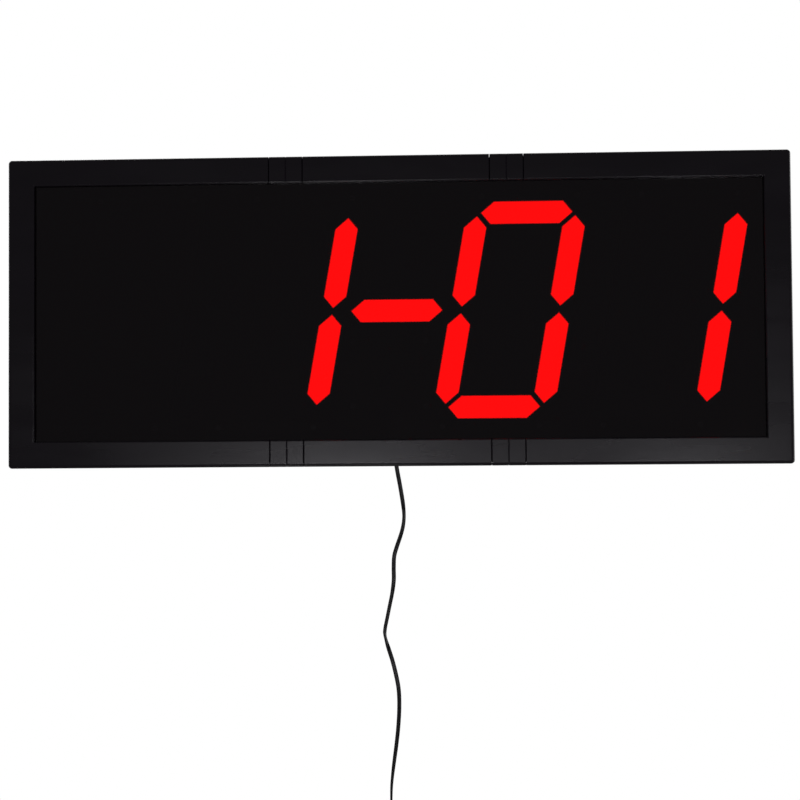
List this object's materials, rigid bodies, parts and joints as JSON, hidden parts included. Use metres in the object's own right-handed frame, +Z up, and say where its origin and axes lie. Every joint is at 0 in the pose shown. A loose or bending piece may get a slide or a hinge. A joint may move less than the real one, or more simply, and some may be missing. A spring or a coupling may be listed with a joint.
{
  "type": "gym round timer",
  "caption": "Wall-hung round timer with large leaning red segment digits behind a smoked window in a slim black frame, with a low-voltage lead, coil and plug-in adapter.",
  "frame": {"origin": "centre of the frame's flat rear face, which lies against the wall", "axes": "+X to the viewer's right along the display, +Y out of the rear face into the wall, so the display faces -Y; +Z up"},
  "size_m": [0.73, 0.046, 0.767],
  "materials": {
    "housing": "fine satin grain",
    "smoked_lens": "polished smoked acrylic",
    "foam_tape": "closed-cell foam",
    "panel": "coarse moulded grain",
    "screw_zinc": "zinc plated",
    "steel": "plain",
    "block_black": "matt black",
    "segment_off": "unlit diffuser",
    "segment_on": "lit diffuser",
    "circuit_board": "green solder mask",
    "lamp": "clear epoxy",
    "connector_ivory": "moulded nylon",
    "ribbon_grey": "vinyl ribbon",
    "chip_black": "moulded epoxy",
    "button_grey": "satin",
    "nickel": "bright nickel",
    "lead_black": "flexible vinyl with a slight sheen",
    "adapter_black": "fine spark grain"
  },
  "bodies": {
    "timer": {"frame_left": "housing", "frame_right": "housing", "frame_top": "housing", "frame_bottom": "housing", "joiner_top_left": "housing", "joiner_top_right": "housing", "joiner_bottom_left": "housing", "joiner_bottom_right": "housing", "lens": "smoked_lens", "lens_seal": "foam_tape", "rear_panel": "panel", "plug_pocket": "panel", "panel_screws": "screw_zinc", "keyhole_plates": "steel", "digit_1_block": "block_black", "digit_2_block": "block_black", "digit_3_block": "block_black", "digit_4_block": "block_black", "dash_block": "block_black", "digit_1_unlit": "segment_off", "digit_2_lit": "segment_on", "digit_2_unlit": "segment_off", "dash_lit": "segment_on", "digit_3_lit": "segment_on", "digit_3_unlit": "segment_off", "digit_4_lit": "segment_on", "digit_4_unlit": "segment_off", "digit_1_board": "circuit_board", "digit_2_board": "circuit_board", "digit_3_board": "circuit_board", "digit_4_board": "circuit_board", "dash_board": "circuit_board", "leds": "lamp", "board_standoffs": "connector_ivory", "board_screws": "screw_zinc", "ribbon_connectors": "connector_ivory", "ribbon_cables": "ribbon_grey", "control_board": "circuit_board", "processor_chip": "chip_black", "driver_chips": "chip_black", "capacitors": "chip_black", "buzzer": "chip_black", "ir_receiver": "chip_black", "dc_jack": "chip_black", "coin_cell_holder": "chip_black", "coin_cell": "steel", "button_switches": "chip_black", "plug_barrel": "nickel", "plug_body": "lead_black", "lead_hanging": "lead_black", "lead_coil": "lead_black", "coil_ties": "lead_black", "lead_tail": "lead_black", "adapter_gland": "lead_black", "adapter_body": "adapter_black", "adapter_prongs": "nickel"},
    "mode": {"mode_button": "button_grey"},
    "up": {"up_button": "button_grey"},
    "down": {"down_button": "button_grey"},
    "start": {"start_button": "button_grey"}
  },
  "joints": [
    {"name": "mode_press", "type": "slide", "parent": "timer", "child": "mode", "axis": [0, -1, 0], "range_m": [0, 0.001], "stiffness_N_per_m": 400},
    {"name": "up_press", "type": "slide", "parent": "timer", "child": "up", "axis": [0, -1, 0], "range_m": [0, 0.001], "stiffness_N_per_m": 400},
    {"name": "down_press", "type": "slide", "parent": "timer", "child": "down", "axis": [0, -1, 0], "range_m": [0, 0.001], "stiffness_N_per_m": 400},
    {"name": "start_press", "type": "slide", "parent": "timer", "child": "start", "axis": [0, -1, 0], "range_m": [0, 0.001], "stiffness_N_per_m": 400}
  ]
}
